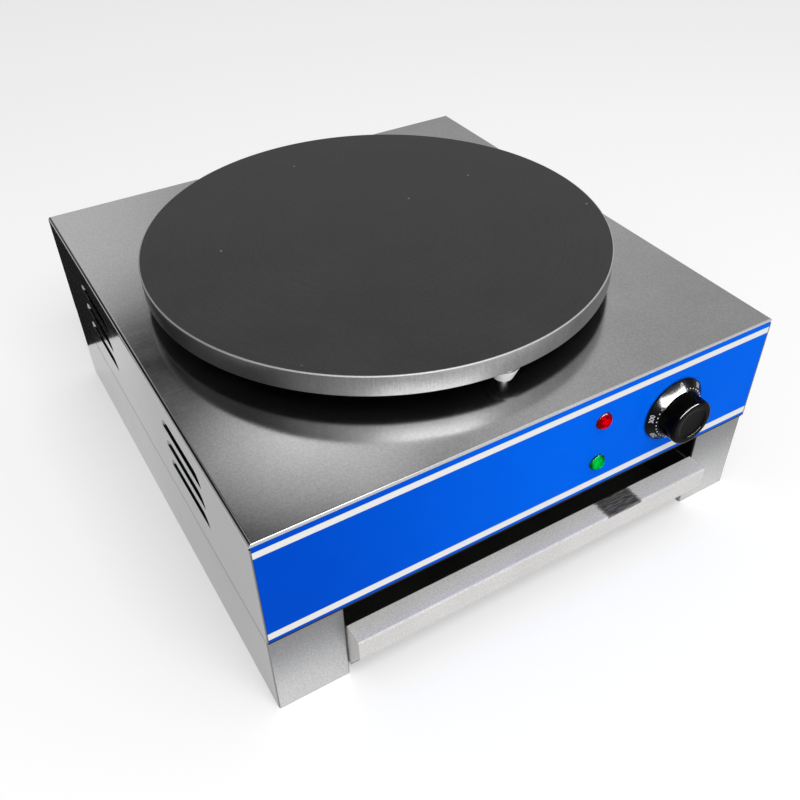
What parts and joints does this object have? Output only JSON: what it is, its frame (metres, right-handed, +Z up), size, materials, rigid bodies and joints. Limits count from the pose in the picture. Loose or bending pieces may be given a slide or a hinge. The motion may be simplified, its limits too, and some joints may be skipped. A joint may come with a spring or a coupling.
{
  "type": "electric crepe maker",
  "caption": "Countertop electric crepe maker: round cast-iron plate on a square louvred sheet-steel housing, thermostat knob and pilot lamps in front, pull-out crumb tray below.",
  "frame": {"origin": "centre of the bounding box's footprint, on the counter", "axes": "+X to the right seen from the front, -Y towards the user at the front, +Z up"},
  "size_m": [0.455, 0.5222, 0.2175],
  "materials": {
    "cast_plate": "turned and seasoned, matt",
    "bright_steel": "bright",
    "zinc_steel": "zinc plated",
    "element_sheath": "heat darkened",
    "insulation": "ceramic fibre blanket",
    "ceramic": "glazed steatite",
    "terminal_brass": "plain",
    "copper": "drawn copper",
    "stainless": "polished, faintly brushed",
    "satin_steel": "satin",
    "blue_film": "printed blue with white lines",
    "black_moulding": "matt",
    "black_gloss": "gloss",
    "red_lens": "clear red moulding",
    "green_lens": "clear green moulding",
    "lamp_housing": "pale moulding",
    "lead_white": "silicone sleeve",
    "lead_brown": "silicone sleeve",
    "lead_green": "silicone sleeve"
  },
  "bodies": {
    "housing": {"griddle_plate": "cast_plate", "plate_spacers": "bright_steel", "plate_studs": "zinc_steel", "plate_nuts": "zinc_steel", "support_posts": "zinc_steel", "outer_element": "element_sheath", "inner_element": "element_sheath", "element_clamp": "zinc_steel", "insulation_disc": "insulation", "heat_shield": "zinc_steel", "clamp_stud": "zinc_steel", "clamp_nut": "zinc_steel", "element_bushes": "ceramic", "element_terminals": "terminal_brass", "thermostat_bulb": "copper", "bulb_clips": "bright_steel", "capillary_tube": "copper", "top_cover": "stainless", "left_side_panel": "stainless", "right_side_panel": "stainless", "front_panel": "stainless", "front_film": "blue_film", "rear_panel": "stainless", "deck_plate": "zinc_steel", "left_base": "satin_steel", "right_base": "satin_steel", "base_rear_panel": "satin_steel", "left_tray_rail": "zinc_steel", "right_tray_rail": "zinc_steel", "thermostat_body": "black_moulding", "thermostat_screws": "zinc_steel", "red_lamp_lens": "red_lens", "green_lamp_lens": "green_lens", "red_lamp_body": "lamp_housing", "green_lamp_body": "lamp_housing", "lamp_nuts": "zinc_steel", "terminal_block": "ceramic", "terminal_screws": "terminal_brass", "cable_gland": "black_moulding", "gland_locknut": "black_moulding", "earth_stud": "terminal_brass", "earth_nuts": "terminal_brass", "element_leads": "lead_white", "control_leads": "lead_brown", "earth_lead": "lead_green", "deck_screws": "zinc_steel", "rear_panel_screws": "bright_steel", "rail_rivets": "bright_steel"},
    "crumb_tray": {"crumb_tray": "satin_steel"},
    "control_knob": {"dial_skirt": "black_gloss", "knob": "black_gloss", "thermostat_spindle": "bright_steel"}
  },
  "joints": [
    {"name": "tray_slide", "type": "slide", "parent": "housing", "child": "crumb_tray", "axis": [0, -1, 0], "range_m": [0, 0.4]},
    {"name": "knob_turn", "type": "hinge", "parent": "housing", "child": "control_knob", "pos_m": [0.1315, -0.2489, 0.134], "axis": [0, 1, 0], "range_deg": [0, 300]}
  ]
}
